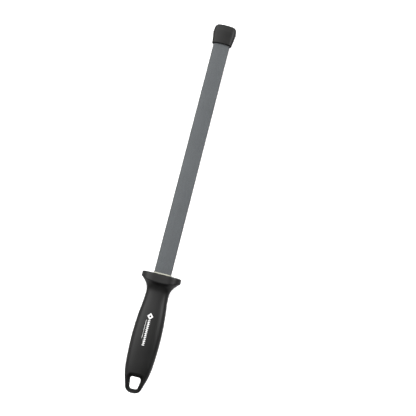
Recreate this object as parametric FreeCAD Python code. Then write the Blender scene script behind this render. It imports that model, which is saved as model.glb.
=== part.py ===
"""Oval diamond sharpening steel with a moulded handle and a push-on tip cap.

Millimetres. The steel lies on its side: +Y runs along the rod to the tip, +X to the
right and +Z up, square to the rod's broad face. Every piece is modelled about the
rod's axis with the guard's face at Y = 0, and place() then moves it into the frame.
"""

import FreeCAD, Part

import math
import os

from FreeCAD import Vector

# Lengths along the axis
ROD_REACH = 260.0  # guard's face to the end of the tip cap
HANDLE_LENGTH = 110.4  # guard's face to the end of the handle
NECK_AT = 19.6  # behind the guard's face, where the handle is thinnest
SHOULDER_AT = 33.0  # behind the guard's face, where the grip swells below the neck
BELLY_AT = 61.0  # behind the guard's face, where the handle is widest
CAP_LENGTH = 21.3
CAP_BULGE_FROM_END = 8.2  # where the cap is widest
TUBE_SOCKET = 14.0  # how deep the tube goes into the handle
TANG_IN_TUBE = 42.0
TANG_COVER = 4.0  # core left past the tang's tail

# Rod: an oval tube with a diamond layer
TUBE_WIDTH = 16.4
TUBE_DEPTH = 6.0
TUBE_EDGE_RADIUS = 2.2
TUBE_WALL = 1.2
COATING = 0.2

# Guard
GUARD_WIDTH = 37.6
GUARD_DEPTH = 32.0
GUARD_CORNER = 12.5
GUARD_ROUND = 1.0
RIM_SIDE_HEIGHT = 5.1  # rim's height at its left and right
RIM_FRONT_HEIGHT = 8.2  # rim's height at its front and back
RIM_ROUND = 0.6  # where the rim turns into the flare
RIM_SQUARENESS = 1.5  # of the flare at the rim, as a share of the grip's own
FLARE_POWER = 2.75  # how sharply the flare turns out at its sides
FLARE_FRONT_POWER = 3.6  # the same for its front and back

# Grip, as full widths and depths
NECK_WALL = 2.75  # plastic either side of the tube at the neck
NECK_DEPTH = 18.6
SHOULDER_WIDTH = 24.3
SHOULDER_DEPTH = 19.8
BELLY_WIDTH = 27.5
BELLY_DEPTH = 21.2
TAIL_WIDTH = 22.6  # at the top of the hanging hole
TAIL_DEPTH = 17.0
TAIL_FROM_END = 16.5
NOSE_WIDTH = 16.2  # where the end starts to round off
NOSE_DEPTH = 13.6
NOSE_ROUND = 5.5
FRONT_SQUARENESS = 0.78  # 0.5523 gives an ellipse, 1 a box
SIDE_SQUARENESS = 0.62

# Hanging hole and the recess around it
HOLE_FROM_END = 3.2
HOLE_HEIGHT = 11.6
HOLE_TOP_WIDTH = 10.8
HOLE_END_WIDTH = 7.3
HOLE_CORNER = 2.4
HOLE_EDGE_ROUND = 0.5
RECESS_FLOOR_DEPTH = 8.0  # thickness left between the two recess floors
RECESS_SIDE_MARGIN = 2.4  # flat floor beside the hole
RECESS_TOP_MARGIN = 0.8
RECESS_END_MARGIN = 1.5
RECESS_LEAN = 1.4  # how far the recess's walls lean out on their way up to the belly's depth
RECESS_TOP_LEAN = 3.9  # the same for its upper wall
RECESS_CORNER = 3.4

# Handle core, under the skin
SKIN = 2.5
CORE_START = 2.6
CORE_BEFORE_RECESS = 3.0  # skin left between the core's end and the recess
CORE_ROUND = 2.0

# Collar around the rod's foot
COLLAR_WALL = 0.7
COLLAR_PROUD = 1.4
COLLAR_LIP_ROUND = 0.3

# Tang and its pin
TANG_WIDTH = 11.0
TANG_NOTCH = 2.0
TANG_NOTCH_PITCH = 14.0
TANG_NOTCHES = 4
TANG_TIP_ROUND = 2.5
PIN_DIAMETER = 3.0
PIN_LENGTH = 12.0
PIN_AT = 8.0

# Tip plug and tip cap
PLUG_DEPTH = 12.0  # how far the plug goes down the tube
PLUG_FLANGE = 1.5
PLUG_CHAMFER = 0.8
CAP_WALL = 1.4  # at the mouth
CAP_SOLE = 3.5  # solid rubber past the plug
CAP_BULGE = 1.92  # how much further each side stands out at the bulge than at the mouth
CAP_FACE_BULGE = 1.6  # the same for the front and the back
CAP_END_DRAW = 1.0  # how far the sides draw in again from the bulge to the end
CAP_BULGE_ROUND = 8.0
CAP_END_ROUND = 4.4
CAP_MOUTH_ROUND = 0.9
CAP_CLEARANCE = 0.1
CAP_MOUTH_LEAD = 0.5

# Printed mark on the grip: an open lozenge over a plain graduated scale, and a fine rule beside it
INK = 0.12
MARK_AT = 36.4
MARK_OFFSET = -0.7  # sideways from the middle of the grip
LOZENGE_LENGTH = 6.2
LOZENGE_WIDTH = 5.6
LOZENGE_OPENING = 0.4  # share of the lozenge left open in its middle
SCALE_GAP = 0.5
SCALE_LENGTH = 23.1
SCALE_WIDTH = 2.3
SCALE_LINE = 0.6
TICKS = 14
TICK_WIDTH = 0.6
RULE_LENGTH = 17.0
RULE_WIDTH = 0.25
RULE_OFFSET = 2.6  # from the middle of the scale

# What follows from the sizes above
NECK_WIDTH = TUBE_WIDTH + 2 * NECK_WALL
HOLE_TOP_AT = HANDLE_LENGTH - HOLE_FROM_END - HOLE_HEIGHT
CORE_END = HOLE_TOP_AT - RECESS_TOP_MARGIN - RECESS_TOP_LEAN - CORE_BEFORE_RECESS
TANG_REACH = CORE_END - TANG_COVER
AXIS_HEIGHT = GUARD_DEPTH / 2
GUARD_FACE_Y = (HANDLE_LENGTH - ROD_REACH) / 2

ELLIPSE = 0.5523  # quarter curve handle that draws an ellipse
LONG = 400.0  # past anything in the model


# Outlines in the plane square to the axis

def square_to_axis(y, x, z):
    return Vector(x, y, z)


def quarter_curves(y, half_width, half_depth, front, side):
    """A closed outline of four curves, softly squared, at the station y."""
    corners = [(1, 0), (0, 1), (-1, 0), (0, -1)]
    edges = []
    for (x0, z0), (x1, z1) in zip(corners, corners[1:] + corners[:1]):
        reach0 = side if x0 else front
        reach1 = side if x1 else front
        poles = [
            (x0, z0),
            (x0 + reach0 * x1, z0 + reach0 * z1),
            (x1 + reach1 * x0, z1 + reach1 * z0),
            (x1, z1),
        ]
        curve = Part.BezierCurve()
        curve.setPoles([square_to_axis(y, x * half_width, z * half_depth) for x, z in poles])
        edges.append(curve.toShape())
    return Part.Wire(edges)


def oval(y, grow=0.0, grow_depth=None):
    """The tube's oval, grown all round: two crowned faces and two round edges."""
    grow_depth = grow if grow_depth is None else grow_depth
    half_width = TUBE_WIDTH / 2 + grow
    half_depth = TUBE_DEPTH / 2 + grow_depth
    edge = TUBE_EDGE_RADIUS + grow_depth
    centre = half_width - edge
    crown = (centre ** 2 + half_depth ** 2 - edge ** 2) / (2 * (half_depth - edge))
    slope = math.atan2(centre, crown - half_depth)
    touch_x = centre + edge * math.sin(slope)
    touch_z = edge * math.cos(slope)
    points = {
        "right_top": (touch_x, touch_z),
        "left_top": (-touch_x, touch_z),
        "left_low": (-touch_x, -touch_z),
        "right_low": (touch_x, -touch_z),
        "top": (0, half_depth),
        "low": (0, -half_depth),
        "left": (-half_width, 0),
        "right": (half_width, 0),
    }
    at = {name: square_to_axis(y, x, z) for name, (x, z) in points.items()}
    arcs = [
        ("right_top", "top", "left_top"),
        ("left_top", "left", "left_low"),
        ("left_low", "low", "right_low"),
        ("right_low", "right", "right_top"),
    ]
    return Part.Wire([Part.Arc(at[a], at[b], at[c]).toShape() for a, b, c in arcs])


def oval_bar(y0, y1, grow=0.0):
    return Part.Face(oval(y0, grow)).extrude(Vector(0, y1 - y0, 0))


def plan_prism(points, z0, z1):
    """A prism standing on a polygon in the XY plane."""
    corners = [Vector(x, y, z0) for x, y in points]
    return Part.Face(Part.makePolygon(corners + corners[:1])).extrude(Vector(0, 0, z1 - z0))


def edges_along(shape, axis):
    """Straight edges that run along one of the frame's axes."""
    found = []
    for edge in shape.Edges:
        a, b = edge.Vertexes[0].Point, edge.Vertexes[-1].Point
        run = b - a
        if run.Length > 1e-6 and abs(abs(run.normalize().dot(axis)) - 1) < 1e-6:
            found.append(edge)
    return found


def edges_at(shape, y, tolerance=1e-4):
    """Edges that lie wholly in the plane at y."""
    return [e for e in shape.Edges
            if abs(e.BoundBox.YMin - y) < tolerance and abs(e.BoundBox.YMax - y) < tolerance]


def points_along(edge):
    first, last = edge.FirstParameter, edge.LastParameter
    return [edge.valueAt(first + (last - first) * share) for share in (0, 0.5, 1)]


# Handle

def flare_half(behind, neck_half, rim_half, power):
    share = (behind - RIM_SIDE_HEIGHT) / (NECK_AT - RIM_SIDE_HEIGHT)
    return neck_half + (rim_half - neck_half) * max(0.0, 1 - share) ** power


def flare_depth_at_rim():
    """Half depth that makes the flare meet the rim's front at its stated height."""
    share = (RIM_FRONT_HEIGHT - RIM_SIDE_HEIGHT) / (NECK_AT - RIM_SIDE_HEIGHT)
    rise = (GUARD_DEPTH - NECK_DEPTH) / 2 / (1 - share) ** FLARE_FRONT_POWER
    return NECK_DEPTH / 2 + rise


def handle_stations(grow=0.0):
    """(behind the guard's face, half width, half depth, share of full squareness)."""
    stations = []
    steps = 8
    for i in range(steps):
        behind = NECK_AT * i / steps
        stations.append((
            behind,
            flare_half(behind, NECK_WIDTH / 2, GUARD_WIDTH / 2, FLARE_POWER),
            flare_half(behind, NECK_DEPTH / 2, flare_depth_at_rim(), FLARE_FRONT_POWER),
            mix(RIM_SQUARENESS, 1, i / steps),
        ))
    tail_at = HANDLE_LENGTH - TAIL_FROM_END
    hip = (BELLY_AT + tail_at) / 2
    stations += [
        (NECK_AT, NECK_WIDTH / 2, NECK_DEPTH / 2, 1),
        (SHOULDER_AT, SHOULDER_WIDTH / 2, SHOULDER_DEPTH / 2, 1),
        (BELLY_AT, BELLY_WIDTH / 2, BELLY_DEPTH / 2, 1),
        (hip, mix(BELLY_WIDTH, TAIL_WIDTH, 0.22) / 2, mix(BELLY_DEPTH, TAIL_DEPTH, 0.28) / 2, 1),
        (tail_at, TAIL_WIDTH / 2, TAIL_DEPTH / 2, 1),
    ]
    nose_taper = (TAIL_WIDTH - NOSE_WIDTH) / 2 / (TAIL_FROM_END - NOSE_ROUND)
    for degrees in (0, 30, 52, 70, 82, 90):
        turn = math.radians(degrees)
        past = NOSE_ROUND * math.sin(turn)
        inset = NOSE_ROUND * (1 - math.cos(turn))
        stations.append((
            HANDLE_LENGTH - NOSE_ROUND + past,
            NOSE_WIDTH / 2 - nose_taper * past / 2 - inset,
            NOSE_DEPTH / 2 - inset * NOSE_DEPTH / NOSE_WIDTH,
            0.6,
        ))
    return [(behind, width + grow, depth + grow, square) for behind, width, depth, square in stations]


def mix(a, b, share):
    return a + (b - a) * share


def handle_loft(stations):
    wires = [
        quarter_curves(
            -behind,
            half_width,
            half_depth,
            mix(ELLIPSE, FRONT_SQUARENESS, square),
            mix(ELLIPSE, SIDE_SQUARENESS, square),
        )
        for behind, half_width, half_depth, square in stations
    ]
    return Part.makeLoft(wires, True, False)


def rim_prism():
    """The guard's outline run back along the handle, with its front edge rounded."""
    x, z, c = GUARD_WIDTH / 2, GUARD_DEPTH / 2, GUARD_CORNER
    corners = [Vector(sx, 0, sz) for sx, sz in ((-x, -z), (x, -z), (x, z), (-x, z))]
    block = Part.Face(Part.makePolygon(corners + corners[:1])).extrude(Vector(0, -LONG, 0))
    block = block.makeFillet(c, edges_along(block, Vector(0, 1, 0)))
    return block.makeFillet(GUARD_ROUND, edges_at(block, 0))


def rim_edges(body):
    """The scalloped line where the rim's straight sides meet the flare."""
    high, low = -RIM_SIDE_HEIGHT / 2, -RIM_FRONT_HEIGHT - 0.5
    return [e for e in body.Edges if all(low < p.y < high for p in points_along(e))]


def hole_plan(side=0.0, top=0.0, end=0.0):
    """Corners of the hanging hole's plan, grown by margins."""
    y_end = -HANDLE_LENGTH + HOLE_FROM_END - end
    y_top = -HOLE_TOP_AT + top
    wide = HOLE_TOP_WIDTH / 2 + side
    narrow = HOLE_END_WIDTH / 2 + side
    return [(-narrow, y_end), (narrow, y_end), (wide, y_top), (-wide, y_top)]


def hanging_hole():
    hole = plan_prism(hole_plan(), -LONG / 2, LONG / 2)
    return hole.makeFillet(HOLE_CORNER, edges_along(hole, Vector(0, 0, 1)))


def recess_outline(lean, top_lean, z):
    plan = hole_plan(RECESS_SIDE_MARGIN + lean, RECESS_TOP_MARGIN + top_lean, RECESS_END_MARGIN + lean)
    block = plan_prism(plan, z, z + 1)
    block = block.makeFillet(RECESS_CORNER, edges_along(block, Vector(0, 0, 1)))
    floor = [face for face in block.Faces if face.BoundBox.ZMax < z + 0.01]
    return floor[0].OuterWire


def recess(side):
    """A dished pocket around the hanging hole, on the front (+1) or the back (-1)."""
    floor = side * RECESS_FLOOR_DEPTH / 2
    brim = side * BELLY_DEPTH / 2
    outlines = [recess_outline(0, 0, floor), recess_outline(RECESS_LEAN, RECESS_TOP_LEAN, brim)]
    return Part.makeLoft(outlines, True, True)


def hole_rims(body):
    """The hanging hole's edges on the two recess floors."""
    clear = HOLE_TOP_WIDTH / 2 + 0.1
    floor = RECESS_FLOOR_DEPTH / 2
    found = []
    for edge in body.Edges:
        box = edge.BoundBox
        flat = box.ZLength < 1e-4 and abs(abs(box.ZMin) - floor) < 1e-4
        if flat and max(-box.XMin, box.XMax) < clear and box.YMin > -HANDLE_LENGTH + HOLE_FROM_END - 0.1:
            found.append(edge)
    return found


def handle_outside():
    body = handle_loft(handle_stations()).common(rim_prism())
    body = body.makeFillet(RIM_ROUND, rim_edges(body))
    body = body.cut(hanging_hole())
    for side in (1, -1):
        body = body.cut(recess(side))
    return body.makeFillet(HOLE_EDGE_ROUND, hole_rims(body))


def core_outside():
    """The first shot of the handle: the outer form taken in by the skin's thickness."""
    stations = []
    for behind, half_width, half_depth, square in handle_stations(-SKIN):
        if CORE_START < behind < CORE_END:
            limit = GUARD_DEPTH / 2 - 2 * SKIN
            stations.append((behind, min(half_width, limit), min(half_depth, limit), square))
    first, last = stations[0], stations[-1]
    stations = [(CORE_START,) + first[1:]] + stations + [(CORE_END,) + last[1:]]
    core = handle_loft(stations)
    return core.makeFillet(CORE_ROUND, edges_at(core, -CORE_END))


# Rod, tang and collar

def tube_end_y():
    return ROD_REACH - CAP_SOLE - PLUG_FLANGE - CAP_CLEARANCE


def make_rod_tube():
    outer = oval_bar(-TUBE_SOCKET, tube_end_y())
    bore = oval_bar(-TUBE_SOCKET, tube_end_y(), -TUBE_WALL)
    return outer.cut(bore).cut(pin_body())


def make_diamond_coating():
    outer = oval_bar(COLLAR_PROUD, tube_end_y(), COATING)
    return outer.cut(oval_bar(COLLAR_PROUD, tube_end_y()))


def collar_body(top):
    return oval_bar(-CORE_START, top, COLLAR_WALL)


def make_rod_collar():
    ring = collar_body(COLLAR_PROUD)
    ring = ring.makeFillet(COLLAR_LIP_ROUND, edges_at(ring, COLLAR_PROUD))
    return ring.cut(oval_bar(-CORE_START, COLLAR_PROUD))


def tang_body():
    """A flat bar, rounded to fill the tube's bore, with notches that key into the core."""
    plug = oval_bar(-TUBE_SOCKET, TANG_IN_TUBE, -TUBE_WALL)
    thick = TUBE_DEPTH - 2 * TUBE_WALL
    half = TANG_WIDTH / 2
    plan = [(-half, -TUBE_SOCKET), (-half, -TANG_REACH), (half, -TANG_REACH), (half, -TUBE_SOCKET)]
    bar = plan_prism(plan, -thick / 2, thick / 2)
    corners = [e for e in edges_along(bar, Vector(0, 0, 1)) if e.BoundBox.YMax < -TANG_REACH + 1]
    bar = bar.makeFillet(TANG_TIP_ROUND, corners)
    for i in range(TANG_NOTCHES):
        y = -TANG_REACH + TANG_NOTCH_PITCH * (i + 1)
        for side in (-1, 1):
            notch = Part.makeCylinder(TANG_NOTCH, thick, Vector(side * half, y, -thick / 2))
            bar = bar.cut(notch)
    return plug.fuse(bar).removeSplitter()


def make_tang():
    return tang_body().cut(pin_body())


def pin_body():
    return Part.makeCylinder(PIN_DIAMETER / 2, PIN_LENGTH, Vector(0, -PIN_AT, -PIN_LENGTH / 2))


def make_tang_pin():
    return pin_body()


def rod_foot():
    """Everything that stands in the handle core: the tube's foot, the tang and the pin."""
    return [oval_bar(-TUBE_SOCKET, 0), tang_body(), pin_body()]


def make_handle_core():
    core = core_outside()
    for piece in rod_foot():
        core = core.cut(piece)
    return core


def make_handle_skin():
    skin = handle_outside().cut(core_outside())
    return skin.cut(collar_body(LONG))


# Tip

def make_tip_plug():
    shank = oval_bar(tube_end_y() - PLUG_DEPTH, tube_end_y(), -TUBE_WALL)
    shank = shank.makeChamfer(PLUG_CHAMFER, edges_at(shank, tube_end_y() - PLUG_DEPTH))
    flange = oval_bar(tube_end_y(), tube_end_y() + PLUG_FLANGE, COATING)
    return shank.fuse(flange).removeSplitter()


def make_tip_cap():
    mouth = ROD_REACH - CAP_LENGTH
    wall = COATING + CAP_WALL
    end = wall - CAP_END_DRAW
    bulge = ROD_REACH - CAP_BULGE_FROM_END
    wires = [
        oval(mouth, wall),
        oval(bulge, wall + CAP_BULGE, wall + CAP_FACE_BULGE),
        oval(ROD_REACH, end + CAP_BULGE, end + CAP_FACE_BULGE),
    ]
    body = Part.makeLoft(wires, True, True)
    body = body.makeFillet(CAP_BULGE_ROUND, edges_at(body, bulge))
    body = body.makeFillet(CAP_END_ROUND, edges_at(body, ROD_REACH))
    body = body.makeFillet(CAP_MOUTH_ROUND, edges_at(body, mouth))
    room = COATING + CAP_CLEARANCE
    pocket = oval_bar(mouth, ROD_REACH - CAP_SOLE, room)
    lead = Part.makeLoft(
        [oval(mouth, room + CAP_MOUTH_LEAD), oval(mouth + CAP_MOUTH_LEAD, room)], True, True
    )
    return body.cut(pocket).cut(lead)


# Printed mark

def mark_prism(points):
    return plan_prism([(MARK_OFFSET + x, -MARK_AT - y) for x, y in points], 0, BELLY_DEPTH)


def rectangle(x0, x1, y0, y1):
    return [(x0, y0), (x1, y0), (x1, y1), (x0, y1)]


def lozenge(share):
    middle, half, reach = LOZENGE_LENGTH / 2, LOZENGE_WIDTH / 2 * share, LOZENGE_LENGTH / 2 * share
    return mark_prism([(0, middle - reach), (half, middle), (0, middle + reach), (-half, middle)])


def graduated_scale():
    top = LOZENGE_LENGTH + SCALE_GAP
    left, right = -SCALE_WIDTH / 2, SCALE_WIDTH / 2
    bars = [mark_prism(rectangle(-SCALE_LINE / 2, SCALE_LINE / 2, top, top + SCALE_LENGTH))]
    pitch = (SCALE_LENGTH - TICK_WIDTH) / (TICKS - 1)
    for i in range(TICKS):
        y = top + pitch * i
        bars.append(mark_prism(rectangle(left, right, y, y + TICK_WIDTH)))
    return bars[0].multiFuse(bars[1:]).removeSplitter()


def fine_rule():
    top = LOZENGE_LENGTH + SCALE_GAP
    left = -RULE_OFFSET - RULE_WIDTH / 2
    return mark_prism(rectangle(left, left + RULE_WIDTH, top, top + RULE_LENGTH))


def make_printed_mark():
    ground = handle_loft(handle_stations())
    inked = handle_loft(handle_stations(INK))
    shapes = (lozenge(1).cut(lozenge(LOZENGE_OPENING)), graduated_scale(), fine_rule())
    pads = [shape.common(inked).cut(ground) for shape in shapes]
    return Part.makeCompound([solid for pad in pads for solid in pad.Solids])


PIECES = {
    "handle_skin": make_handle_skin,
    "handle_core": make_handle_core,
    "rod_collar": make_rod_collar,
    "rod_tube": make_rod_tube,
    "diamond_coating": make_diamond_coating,
    "tang": make_tang,
    "tang_pin": make_tang_pin,
    "tip_plug": make_tip_plug,
    "tip_cap": make_tip_cap,
    "printed_mark": make_printed_mark,
}


def place(shape):
    shape.translate(Vector(0, GUARD_FACE_Y, AXIS_HEIGHT))
    return shape


def main():
    os.makedirs("parts", exist_ok=True)
    for name, make in PIECES.items():
        shape = place(make())
        box = shape.BoundBox
        print(f"{name:16s} valid {shape.isValid()} solids {len(shape.Solids)} "
              f"volume {shape.Volume:9.1f}  x {box.XMin:7.2f} {box.XMax:7.2f}  "
              f"y {box.YMin:8.2f} {box.YMax:8.2f}  z {box.ZMin:6.2f} {box.ZMax:6.2f}")
        shape.exportStep(f"parts/{name}.step")


main()
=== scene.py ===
"""Oval diamond sharpening steel: looks, stage and camera around its CAD frame.

Metres, in the frame's own axes: +Y runs along the rod to the tip, +Z is up.
"""

import math

import bmesh
import bpy
from bpy.props import FloatProperty, FloatVectorProperty, IntProperty, PointerProperty
from mathutils import Matrix, Vector


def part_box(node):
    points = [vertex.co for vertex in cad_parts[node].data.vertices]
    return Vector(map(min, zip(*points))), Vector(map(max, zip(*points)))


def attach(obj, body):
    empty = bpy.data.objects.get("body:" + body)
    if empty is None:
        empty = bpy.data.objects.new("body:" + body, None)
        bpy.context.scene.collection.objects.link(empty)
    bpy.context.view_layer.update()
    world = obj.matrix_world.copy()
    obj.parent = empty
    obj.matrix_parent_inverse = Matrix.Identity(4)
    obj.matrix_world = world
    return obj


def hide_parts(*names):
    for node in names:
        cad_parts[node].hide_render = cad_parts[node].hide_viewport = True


bl_info = {
    "name": "Sharpening Steel",
    "version": (1, 0, 0),
    "blender": (4, 5, 0),
    "location": "View3D > Sidebar > Steel",
    "description": "Builds the looks of an oval diamond sharpening steel around its CAD frame",
    "category": "Add Mesh",
}

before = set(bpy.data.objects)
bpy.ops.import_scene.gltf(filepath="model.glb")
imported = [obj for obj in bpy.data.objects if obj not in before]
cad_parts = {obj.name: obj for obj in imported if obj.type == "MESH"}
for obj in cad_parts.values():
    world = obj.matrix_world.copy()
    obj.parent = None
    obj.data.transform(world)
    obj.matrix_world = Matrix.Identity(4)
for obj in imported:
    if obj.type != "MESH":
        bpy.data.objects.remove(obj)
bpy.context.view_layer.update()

STEEL_BODY = "steel"
MM = 0.001
SENSOR = 36  # camera sensor's width in mm
FLOOR_REACH = 2.0  # from the floor's middle to its sides
WELD = 0.002 * MM  # corners of the frame's triangles nearer than this are one
EASE = 0.5  # share of the way to its neighbours that each easing moves a corner
RECESS_SHADE_AND_DULLNESS = 0.8  # share of the recess's surface swapped for a duller one with painted shade


# Settings

class SteelSizes(bpy.types.PropertyGroup):
    """Sizes of the details that the frame doesn't fix."""

    voxel: FloatProperty(
        name="Handle cell", description="Cell size of the handle's surface",
        default=0.46 * MM, min=0.2 * MM, max=2 * MM, unit="LENGTH",
    )
    softening: IntProperty(
        name="Edge softening", description="How many times the handle's edges are eased",
        default=2, min=0, max=30,
    )
    recess_middle: FloatProperty(
        name="Recess middle", description="From the handle's end to the middle of the recess",
        default=10.4 * MM, unit="LENGTH",
    )
    recess_length: FloatProperty(
        name="Recess half length", description="From the recess's middle to its end",
        default=8.9 * MM, unit="LENGTH",
    )
    recess_width: FloatProperty(
        name="Recess half width", description="From the recess's middle to its side",
        default=8.0 * MM, unit="LENGTH",
    )
    guard_foot: FloatProperty(
        name="Guard's foot", description="How far behind its face the guard meets the floor",
        default=1.2 * MM, unit="LENGTH",
    )
    cap_foot: FloatProperty(
        name="Cap's foot", description="How far from the tip the cap meets the floor",
        default=8 * MM, unit="LENGTH",
    )


class SteelColours(bpy.types.PropertyGroup):
    """Base colours, as linear values."""

    plastic: FloatVectorProperty(
        name="Handle", description="Moulded handle plastic",
        subtype="COLOR", default=(0.0042, 0.0042, 0.0041), min=0, max=1,
    )
    core: FloatVectorProperty(
        name="Core", description="Inner shot of the handle",
        subtype="COLOR", default=(0.08, 0.08, 0.08), min=0, max=1,
    )
    rubber: FloatVectorProperty(
        name="Cap", description="Tip cap rubber",
        subtype="COLOR", default=(0.0043, 0.0042, 0.004), min=0, max=1,
    )
    collar: FloatVectorProperty(
        name="Collar", description="Pale collar at the rod's foot",
        subtype="COLOR", default=(0.34, 0.34, 0.28), min=0, max=1,
    )
    diamond: FloatVectorProperty(
        name="Diamond layer", description="Grit in its grey plating",
        subtype="COLOR", default=(0.052, 0.0565, 0.06), min=0, max=1,
    )
    steel: FloatVectorProperty(
        name="Steel", description="Bare steel inside",
        subtype="COLOR", default=(0.5, 0.5, 0.49), min=0, max=1,
    )
    ink: FloatVectorProperty(
        name="Ink", description="Printed mark",
        subtype="COLOR", default=(0.6, 0.6, 0.595), min=0, max=1,
    )
    floor: FloatVectorProperty(
        name="Floor", description="Pale floor under the steel",
        subtype="COLOR", default=(0.93, 0.93, 0.93), min=0, max=1,
    )


class SteelStudio(bpy.types.PropertyGroup):
    """Camera and lights."""

    distance: FloatProperty(
        name="Camera distance", description="From the camera to the point it looks at",
        default=0.56, unit="LENGTH",
    )
    tilt: FloatProperty(
        name="Camera tilt", description="Lean of the camera towards the handle",
        default=math.radians(9.44), subtype="ANGLE",
    )
    roll: FloatProperty(
        name="Camera roll", description="Turn of the picture around the line of sight",
        default=math.radians(14.02), subtype="ANGLE",
    )
    aside: FloatProperty(
        name="Aim aside", description="How far beside the rod the camera aims",
        default=26.6 * MM, unit="LENGTH",
    )
    ahead: FloatProperty(
        name="Aim ahead of guard", description="How far along the rod from the guard the camera aims",
        default=73.1 * MM, unit="LENGTH",
    )
    lens: FloatProperty(
        name="Lens", description="Focal length",
        default=50.09, subtype="DISTANCE_CAMERA",
    )
    light: FloatProperty(
        name="Light", description="Strength of the soft light on its bright side",
        default=5.4, min=0,
    )
    dim_side: FloatProperty(
        name="Dim side", description="Strength of the soft light on its far side",
        default=0.1, min=0,
    )
    falloff: FloatProperty(
        name="Falloff", description="How quickly the light weakens towards the dim side",
        default=1.3, min=0.1,
    )
    dark_behind: FloatProperty(
        name="Dark behind", description="Where, from the handle's end to the tip, the light has gone",
        default=-0.45, min=-1, max=1,
    )
    bright_before: FloatProperty(
        name="Bright before", description="Where, from the handle's end to the tip, the light is full",
        default=0.1, min=-1, max=1,
    )
    behind_light: FloatProperty(
        name="Light behind", description="Share of the light that is left behind the handle's end",
        default=0.2, min=0, max=1,
    )
    low_light: FloatProperty(
        name="Low light", description="Share of the light that is left level with the floor",
        default=0.25, min=0, max=1,
    )
    high_light: FloatProperty(
        name="High light", description="Height, as the sine of its angle, from which the light is full",
        default=0.5, min=0.01, max=1,
    )
    strip_light: FloatProperty(
        name="Strip light", description="Strength of the narrower light at the right",
        default=11.0, min=0,
    )
    strip_falloff: FloatProperty(
        name="Strip falloff", description="How narrow the light at the right is",
        default=45, min=0.1,
    )
    strip_from: FloatVectorProperty(
        name="Strip from", description="Direction of the light at the right",
        subtype="DIRECTION", default=(0.78, 0.35, 0.48),
    )
    floor_bounce: FloatProperty(
        name="Floor bounce", description="Share of its light that the floor throws back up",
        default=0.35, min=0, max=1,
    )
    floor_glow: FloatProperty(
        name="Floor glow", description="Light that comes through the floor, which thins the shadows",
        default=0.35, min=0, max=1,
    )
    backdrop: FloatProperty(
        name="Backdrop", description="Brightness of the empty space behind the floor",
        default=1.0, min=0,
    )


class SteelSettings(bpy.types.PropertyGroup):
    """All settings of the sharpening steel."""

    sizes: PointerProperty(type=SteelSizes, name="Sizes", description="Detail sizes")
    colours: PointerProperty(type=SteelColours, name="Colours", description="Base colours")
    studio: PointerProperty(type=SteelStudio, name="Studio", description="Camera and lights")


def settings():
    """The steel's settings in this scene."""
    return bpy.context.scene.steel_settings


# Materials

class Wire:
    """A shader socket that maths can be written on."""

    def __init__(self, shader, socket):
        self.shader = shader
        self.socket = socket

    def maths(self, operation, *values):
        """A Math node on this wire's tree."""
        return self.shader.add("ShaderNodeMath", {"operation": operation}, dict(enumerate(values)))

    def __add__(self, other):
        return self.maths("ADD", self, other)

    def __radd__(self, other):
        return self.maths("ADD", other, self)

    def __sub__(self, other):
        return self.maths("SUBTRACT", self, other)

    def __rsub__(self, other):
        return self.maths("SUBTRACT", other, self)

    def __mul__(self, other):
        return self.maths("MULTIPLY", self, other)

    def __rmul__(self, other):
        return self.maths("MULTIPLY", other, self)

    def __pow__(self, other):
        return self.maths("POWER", self, other)


class Nodes:
    """A node tree that nodes are added to."""

    def __init__(self, tree):
        self.tree = tree

    def add(self, kind, options=None, inputs=None, out=0):
        """A node with its settings first, then the values or links of its sockets."""
        node = self.tree.nodes.new(kind)
        for name, value in (options or {}).items():
            if name == "stops":
                self.set_stops(node.color_ramp, value)
            else:
                setattr(node, name, value)
        for name, value in (inputs or {}).items():
            self.feed(node.inputs[name], value)
        return Wire(self, node.outputs[out])

    def set_stops(self, ramp, stops):
        """A ramp's greys, each with its position."""
        while len(ramp.elements) < len(stops):
            ramp.elements.new(0.5)
        for element, (position, grey) in zip(ramp.elements, stops):
            element.position = position
            element.color = (grey, grey, grey, 1)

    def feed(self, socket, value):
        """Links a wire to a socket, or sets the socket's own value."""
        if isinstance(value, Wire):
            self.tree.links.new(value.socket, socket)
        else:
            socket.default_value = value

    def axes(self, vector):
        """The vector's X, Y and Z."""
        split = self.add("ShaderNodeSeparateXYZ", inputs={"Vector": vector})
        return [Wire(self, output) for output in split.socket.node.outputs]

    def rise(self, value, limits):
        """A smooth step on a value, with its limits by socket name."""
        options = {"interpolation_type": "SMOOTHSTEP"}
        return self.add("ShaderNodeMapRange", options, {"Value": value, **limits}, "Result")


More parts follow.
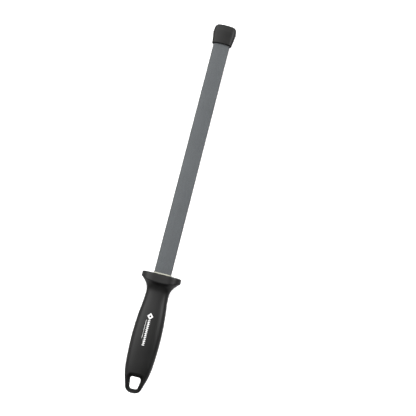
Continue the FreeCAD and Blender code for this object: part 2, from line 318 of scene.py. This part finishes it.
class Shader(Nodes):
    """A material under construction, with its Principled surface."""

    def __init__(self, name):
        self.material = bpy.data.materials.new(name)
        self.material.use_nodes = True
        super().__init__(self.material.node_tree)
        self.surface = self.tree.nodes["Principled BSDF"]
        self.place = self.add("ShaderNodeTexCoord", out="Object")

    def set(self, **values):
        """Surface sockets by name, with spaces written as underscores."""
        for name, value in values.items():
            self.feed(self.surface.inputs[name.replace("_", " ")], value)

    def scaled(self, scale, moved=(0, 0, 0)):
        """The place on the piece, stretched and then moved."""
        inputs = {"Vector": self.place, "Scale": scale, "Location": moved}
        return self.add("ShaderNodeMapping", {}, inputs, "Vector")

    def noise(self, scale, detail=2.0, roughness=0.5, vector=None):
        inputs = {"Scale": scale, "Detail": detail, "Roughness": roughness}
        inputs["Vector"] = vector or self.place
        return self.add("ShaderNodeTexNoise", {}, inputs, "Fac")

    def cells(self, scale):
        inputs = {"Vector": self.place, "Scale": scale}
        return self.add("ShaderNodeTexVoronoi", {"feature": "F1"}, inputs, "Color")

    def ramp(self, value, stops):
        return self.add("ShaderNodeValToRGB", {"stops": stops}, {"Fac": value}, "Color")

    def blend(self, share, first, second):
        """Mixes two colours, through the colour sockets of a Mix node."""
        return self.add("ShaderNodeMix", {"data_type": "RGBA"}, {0: share, 6: first, 7: second}, 2)

    def bump(self, height, distance, strength):
        inputs = {"Height": height, "Distance": distance, "Strength": strength}
        return self.add("ShaderNodeBump", {}, inputs, "Normal")

    def dull_and_shade(self, share, colour):
        """Puts an almost glossless surface in the first one's place, by share; it takes the colour
        given, which is darkened for painted shade.
        """
        inputs = {"Base Color": colour, "Roughness": 0.8, "Specular IOR Level": 0.07}
        # painted shade: the matt surface carries the darker colour given
        matt = self.add("ShaderNodeBsdfPrincipled", {}, inputs)
        glossy = Wire(self, self.surface.outputs[0])
        mixed = self.add("ShaderNodeMixShader", {}, {0: share, 1: glossy, 2: matt})
        self.feed(self.tree.nodes["Material Output"].inputs["Surface"], mixed)


def rgba(colour, factor=1.0):
    """The colour made lighter or darker, with full alpha."""
    return tuple(min(1.0, c * factor) for c in colour) + (1.0,)


def recess_shade_mask(s):
    """1 in the recess around the hanging hole, where shade is painted, and 0 outside it, with rounded
    corners.
    """
    sizes = settings().sizes
    wide, long = sizes.recess_width, sizes.recess_length
    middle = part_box("handle_skin")[0].y + sizes.recess_middle
    across, along, _ = s.axes(s.scaled((1 / wide, 1 / long, 1), (0, -middle / long, 0)))
    reach = (across * across) ** 2 + (along * along) ** 2
    return s.ramp(reach, [(0.45, 1), (0.95, 0)])


def moulded_plastic():
    """Satin black plastic with the fine grain of a spark-eroded mould, with a duller surface and
    painted shade in the recess.
    """
    s = Shader("moulded_plastic")
    colour = settings().colours.plastic
    cloud = s.ramp(s.noise(60, detail=4), [(0.35, 0), (0.7, 1)])
    grain = s.noise(3200)
    drag = s.scaled((6, 1, 6))
    scuff = s.ramp(s.noise(25, detail=6, roughness=0.7, vector=drag), [(0.45, 0), (0.75, 1)])
    s.set(
        Base_Color=s.blend(cloud, rgba(colour, 0.85), rgba(colour, 1.25)),
        Roughness=0.3 + scuff * 0.06 + grain * 0.05,
        Normal=s.bump(grain, distance=0.03 * MM, strength=0.6),
        Specular_IOR_Level=0.22,
    )
    # painted shade in the recess: a duller surface at 0.6 of the plastic's colour
    s.dull_and_shade(recess_shade_mask(s) * RECESS_SHADE_AND_DULLNESS, rgba(colour, 0.6))
    return s.material


def cap_rubber():
    """Matt black rubber, a little dusty."""
    s = Shader("cap_rubber")
    colour = settings().colours.rubber
    dust = s.ramp(s.noise(240, detail=5, roughness=0.6), [(0.4, 0), (0.8, 1)])
    grain = s.noise(2400, detail=3)
    s.set(
        Base_Color=s.blend(dust, rgba(colour), rgba(colour, 1.7)),
        Roughness=0.36 + dust * 0.12,
        Normal=s.bump(grain, distance=0.04 * MM, strength=0.6),
        Specular_IOR_Level=0.2,
    )
    return s.material


def collar_plastic():
    """Pale plastic with faint stains."""
    s = Shader("collar_plastic")
    colour = settings().colours.collar
    stain = s.ramp(s.noise(900, detail=3), [(0.4, 0), (0.75, 1)])
    s.set(
        Base_Color=s.blend(stain, rgba(colour), rgba(colour, 0.88)),
        Roughness=0.35 + stain * 0.15,
        Normal=s.bump(s.noise(1500), distance=0.01 * MM, strength=0.4),
    )
    return s.material


def diamond_layer():
    """Fine diamond grit set in matt grey plating."""
    s = Shader("diamond_layer")
    colour = settings().colours.diamond
    grit = s.ramp(s.cells(5200), [(0.2, 0), (0.85, 1)])
    patch = s.ramp(s.noise(45, detail=5, roughness=0.65), [(0.35, 0), (0.7, 1)])
    along = s.scaled((20, 1, 20))
    drawn = s.ramp(s.noise(30, detail=4, roughness=0.6, vector=along), [(0.4, 0), (0.7, 1)])
    tone = s.blend(patch, rgba(colour, 0.94), rgba(colour, 1.08))
    tone = s.blend(drawn * 0.5, tone, rgba(colour, 1.12))
    tone = s.blend(grit * 0.35, tone, rgba(colour, 1.5))
    s.set(
        Base_Color=tone,
        Metallic=0.35,
        Roughness=0.72 - grit * 0.22,
        Normal=s.bump(grit, distance=0.05 * MM, strength=0.55),
    )
    return s.material


def bare_steel():
    """Steel with fine lines drawn along the rod."""
    s = Shader("bare_steel")
    colour = settings().colours.steel
    lines = s.noise(2600, detail=3, roughness=0.6, vector=s.scaled((1, 0.04, 1)))
    s.set(
        Base_Color=s.blend(lines, rgba(colour, 0.85), rgba(colour, 1.1)),
        Metallic=1.0,
        Roughness=0.3 + lines * 0.2,
        Normal=s.bump(lines, distance=0.01 * MM, strength=0.5),
    )
    return s.material


def inner_plastic():
    """Hard dark plastic with faint flow marks."""
    s = Shader("inner_plastic")
    colour = settings().colours.core
    flow = s.ramp(s.noise(120, detail=4), [(0.3, 0), (0.75, 1)])
    s.set(
        Base_Color=s.blend(flow, rgba(colour, 0.8), rgba(colour, 1.1)),
        Roughness=0.5 + flow * 0.1,
        Normal=s.bump(s.noise(1800), distance=0.02 * MM, strength=0.5),
    )
    return s.material


def printed_ink():
    """White pad-printed ink, slightly thin in places."""
    s = Shader("printed_ink")
    colours = settings().colours
    thin = s.ramp(s.noise(2200, detail=4, roughness=0.6), [(0.55, 0), (0.8, 1)])
    s.set(
        Base_Color=s.blend(thin * 0.5, rgba(colours.ink), rgba(colours.plastic, 6)),
        Roughness=0.5 + thin * 0.1,
        Normal=s.bump(s.noise(3000), distance=0.01 * MM, strength=0.5),
    )
    return s.material


def floor_paint():
    """Pale paint that throws little light back up and glows through its own shadows."""
    s = Shader("floor_paint")
    colour = settings().colours.floor
    studio = settings().studio
    direct = s.add("ShaderNodeLightPath", out="Is Camera Ray")
    s.set(
        Base_Color=s.blend(direct, rgba(colour, studio.floor_bounce), rgba(colour)),
        Roughness=0.9,
        Specular_IOR_Level=0.0,
        Emission_Color=s.blend(direct, (0, 0, 0, 1), rgba(colour, studio.floor_glow)),
        Emission_Strength=1.0,
    )
    return s.material


# Meshes

def new_piece(name, bm, body, material, slot, *nodes):
    """Turns a bmesh into a finished piece that stands for CAD nodes."""
    mesh = bpy.data.meshes.new(name)
    bm.to_mesh(mesh)
    bm.free()
    piece = bpy.data.objects.new(name, mesh)
    bpy.context.scene.collection.objects.link(piece)
    mesh.materials.append(material)
    mesh.shade_smooth()
    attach(piece, body)
    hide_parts(*nodes)
    return piece


def paint(node, material):
    """Gives a CAD node that stays its finished material."""
    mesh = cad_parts[node].data
    mesh.materials.clear()
    mesh.materials.append(material)


def make_handle():
    """The handle's outer shot with its edges eased as a mould leaves them."""
    sizes = settings().sizes
    bm = bmesh.new()
    bm.from_mesh(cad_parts["handle_skin"].data)
    bmesh.ops.remove_doubles(bm, verts=bm.verts, dist=WELD)
    handle = new_piece("handle", bm, STEEL_BODY, moulded_plastic(), "handle_plastic", "handle_skin")
    remesh = handle.modifiers.new("surface", "REMESH")
    remesh.mode = "VOXEL"
    remesh.voxel_size = sizes.voxel
    remesh.use_smooth_shade = True
    smooth = handle.modifiers.new("ease", "SMOOTH")
    smooth.factor = EASE
    smooth.iterations = sizes.softening


# Stage

def make_floor():
    """A floor that the guard's edge and the cap both rest on."""
    sizes = settings().sizes
    guard_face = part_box("handle_skin")[1].y
    cap_low, cap_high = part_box("tip_cap")
    slope = math.atan2(cap_low.z, cap_high.y - sizes.cap_foot - guard_face)
    bm = bmesh.new()
    bmesh.ops.create_grid(bm, x_segments=1, y_segments=1, size=FLOOR_REACH)
    bmesh.ops.rotate(bm, verts=bm.verts, cent=(0, 0, 0), matrix=Matrix.Rotation(slope, 3, "X"))
    bmesh.ops.translate(bm, verts=bm.verts, vec=(0, guard_face - sizes.guard_foot, 0))
    mesh = bpy.data.meshes.new("floor")
    bm.to_mesh(mesh)
    bm.free()
    mesh.materials.append(floor_paint())
    floor = bpy.data.objects.new("floor", mesh)
    bpy.context.scene.collection.objects.link(floor)


def make_sky():
    """Soft light from above and the left, faint behind the handle, with a narrower one at the right."""
    studio = settings().studio
    world = bpy.data.worlds.new("soft_box")
    world.use_nodes = True
    sky = Nodes(world.node_tree)
    way = sky.add("ShaderNodeTexCoord", out="Generated")

    across, along, upward = sky.axes(way)
    from_left = ((1.0 - across) * 0.5) ** studio.falloff
    limits = {"From Min": studio.dark_behind, "From Max": studio.bright_before}
    from_tip = sky.rise(along, {**limits, "To Min": studio.behind_light})
    from_above = sky.rise(upward, {"From Max": studio.high_light, "To Min": studio.low_light})
    inputs = {0: way, 1: Vector(studio.strip_from).normalized()}
    facing = sky.add("ShaderNodeVectorMath", {"operation": "DOT_PRODUCT"}, inputs, "Value")
    strip = ((facing + 1.0) * 0.5) ** studio.strip_falloff
    light = studio.dim_side + from_left * from_tip * from_above * studio.light
    light = light + strip * studio.strip_light
    seen = sky.add("ShaderNodeLightPath", out="Is Camera Ray")
    background = world.node_tree.nodes["Background"]
    sky.feed(background.inputs["Color"], (1, 1, 1, 1))
    sky.feed(background.inputs["Strength"], light + seen * (studio.backdrop - light))
    bpy.context.scene.world = world
    bpy.context.scene.view_settings.view_transform = "Standard"


def make_camera():
    """A camera above the steel, leaning and rolled about its line of sight."""
    studio = settings().studio
    guard_low, guard_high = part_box("handle_skin")
    axis_height = (guard_low.z + guard_high.z) / 2
    aim = Vector((studio.aside, guard_high.y + studio.ahead, axis_height))
    back = Vector((0, -math.sin(studio.tilt), math.cos(studio.tilt)))
    along = Vector((0, math.cos(studio.tilt), math.sin(studio.tilt)))
    across = Vector((1, 0, 0))
    right = across * math.cos(studio.roll) + along * math.sin(studio.roll)
    up = along * math.cos(studio.roll) - across * math.sin(studio.roll)
    data = bpy.data.cameras.new("camera")
    data.sensor_width = SENSOR
    data.lens = studio.lens
    camera = bpy.data.objects.new("camera", data)
    pose = Matrix((right, up, back)).transposed().to_4x4()
    pose.translation = aim + back * studio.distance
    camera.matrix_world = pose
    bpy.context.scene.collection.objects.link(camera)
    bpy.context.scene.camera = camera


# Operators

class STEEL_OT_handle(bpy.types.Operator):
    """Moulded handle with its guard, hanging hole and printed mark."""

    bl_idname = "steel.handle"
    bl_label = "Handle"

    def execute(self, context):
        make_handle()
        paint("handle_core", inner_plastic())
        paint("printed_mark", printed_ink())
        return {"FINISHED"}


class STEEL_OT_rod(bpy.types.Operator):
    """Diamond-coated rod with its collar, tube, tang and pin."""

    bl_idname = "steel.rod"
    bl_label = "Rod"

    def execute(self, context):
        paint("diamond_coating", diamond_layer())
        paint("rod_collar", collar_plastic())
        steel = bare_steel()
        for node in ("rod_tube", "tang", "tang_pin"):
            paint(node, steel)
        return {"FINISHED"}


class STEEL_OT_tip(bpy.types.Operator):
    """Tip plug and the rubber cap over it."""

    bl_idname = "steel.tip"
    bl_label = "Tip"

    def execute(self, context):
        paint("tip_plug", inner_plastic())
        paint("tip_cap", cap_rubber())
        return {"FINISHED"}


class STEEL_OT_stage(bpy.types.Operator):
    """Pale floor, soft lights and the camera."""

    bl_idname = "steel.stage"
    bl_label = "Stage"

    def execute(self, context):
        make_floor()
        make_sky()
        make_camera()
        return {"FINISHED"}


# Panel

class STEEL_PT_panel(bpy.types.Panel):
    """Buttons for each group of pieces."""

    bl_idname = "STEEL_PT_panel"
    bl_label = "Sharpening Steel"
    bl_space_type = "VIEW_3D"
    bl_region_type = "UI"
    bl_category = "Steel"

    def draw(self, context):
        for operator in OPERATORS:
            self.layout.operator(operator.bl_idname)
        for group in (settings().sizes, settings().colours, settings().studio):
            box = self.layout.box()
            for name in group.bl_rna.properties.keys():
                if name not in ("rna_type", "name"):
                    box.prop(group, name)


GROUPS = (SteelSizes, SteelColours, SteelStudio, SteelSettings)
OPERATORS = (STEEL_OT_handle, STEEL_OT_rod, STEEL_OT_tip, STEEL_OT_stage)


def register():
    """Makes the settings, operators and panel known to Blender."""
    for item in GROUPS + OPERATORS + (STEEL_PT_panel,):
        bpy.utils.register_class(item)
    bpy.types.Scene.steel_settings = PointerProperty(type=SteelSettings)


def unregister():
    """Takes the settings, operators and panel out again."""
    del bpy.types.Scene.steel_settings
    for item in reversed(GROUPS + OPERATORS + (STEEL_PT_panel,)):
        bpy.utils.unregister_class(item)


def main():
    """Builds the whole steel and its stage."""
    register()
    bpy.ops.steel.handle()
    bpy.ops.steel.rod()
    bpy.ops.steel.tip()
    bpy.ops.steel.stage()


if __name__ == "__main__":
    main()
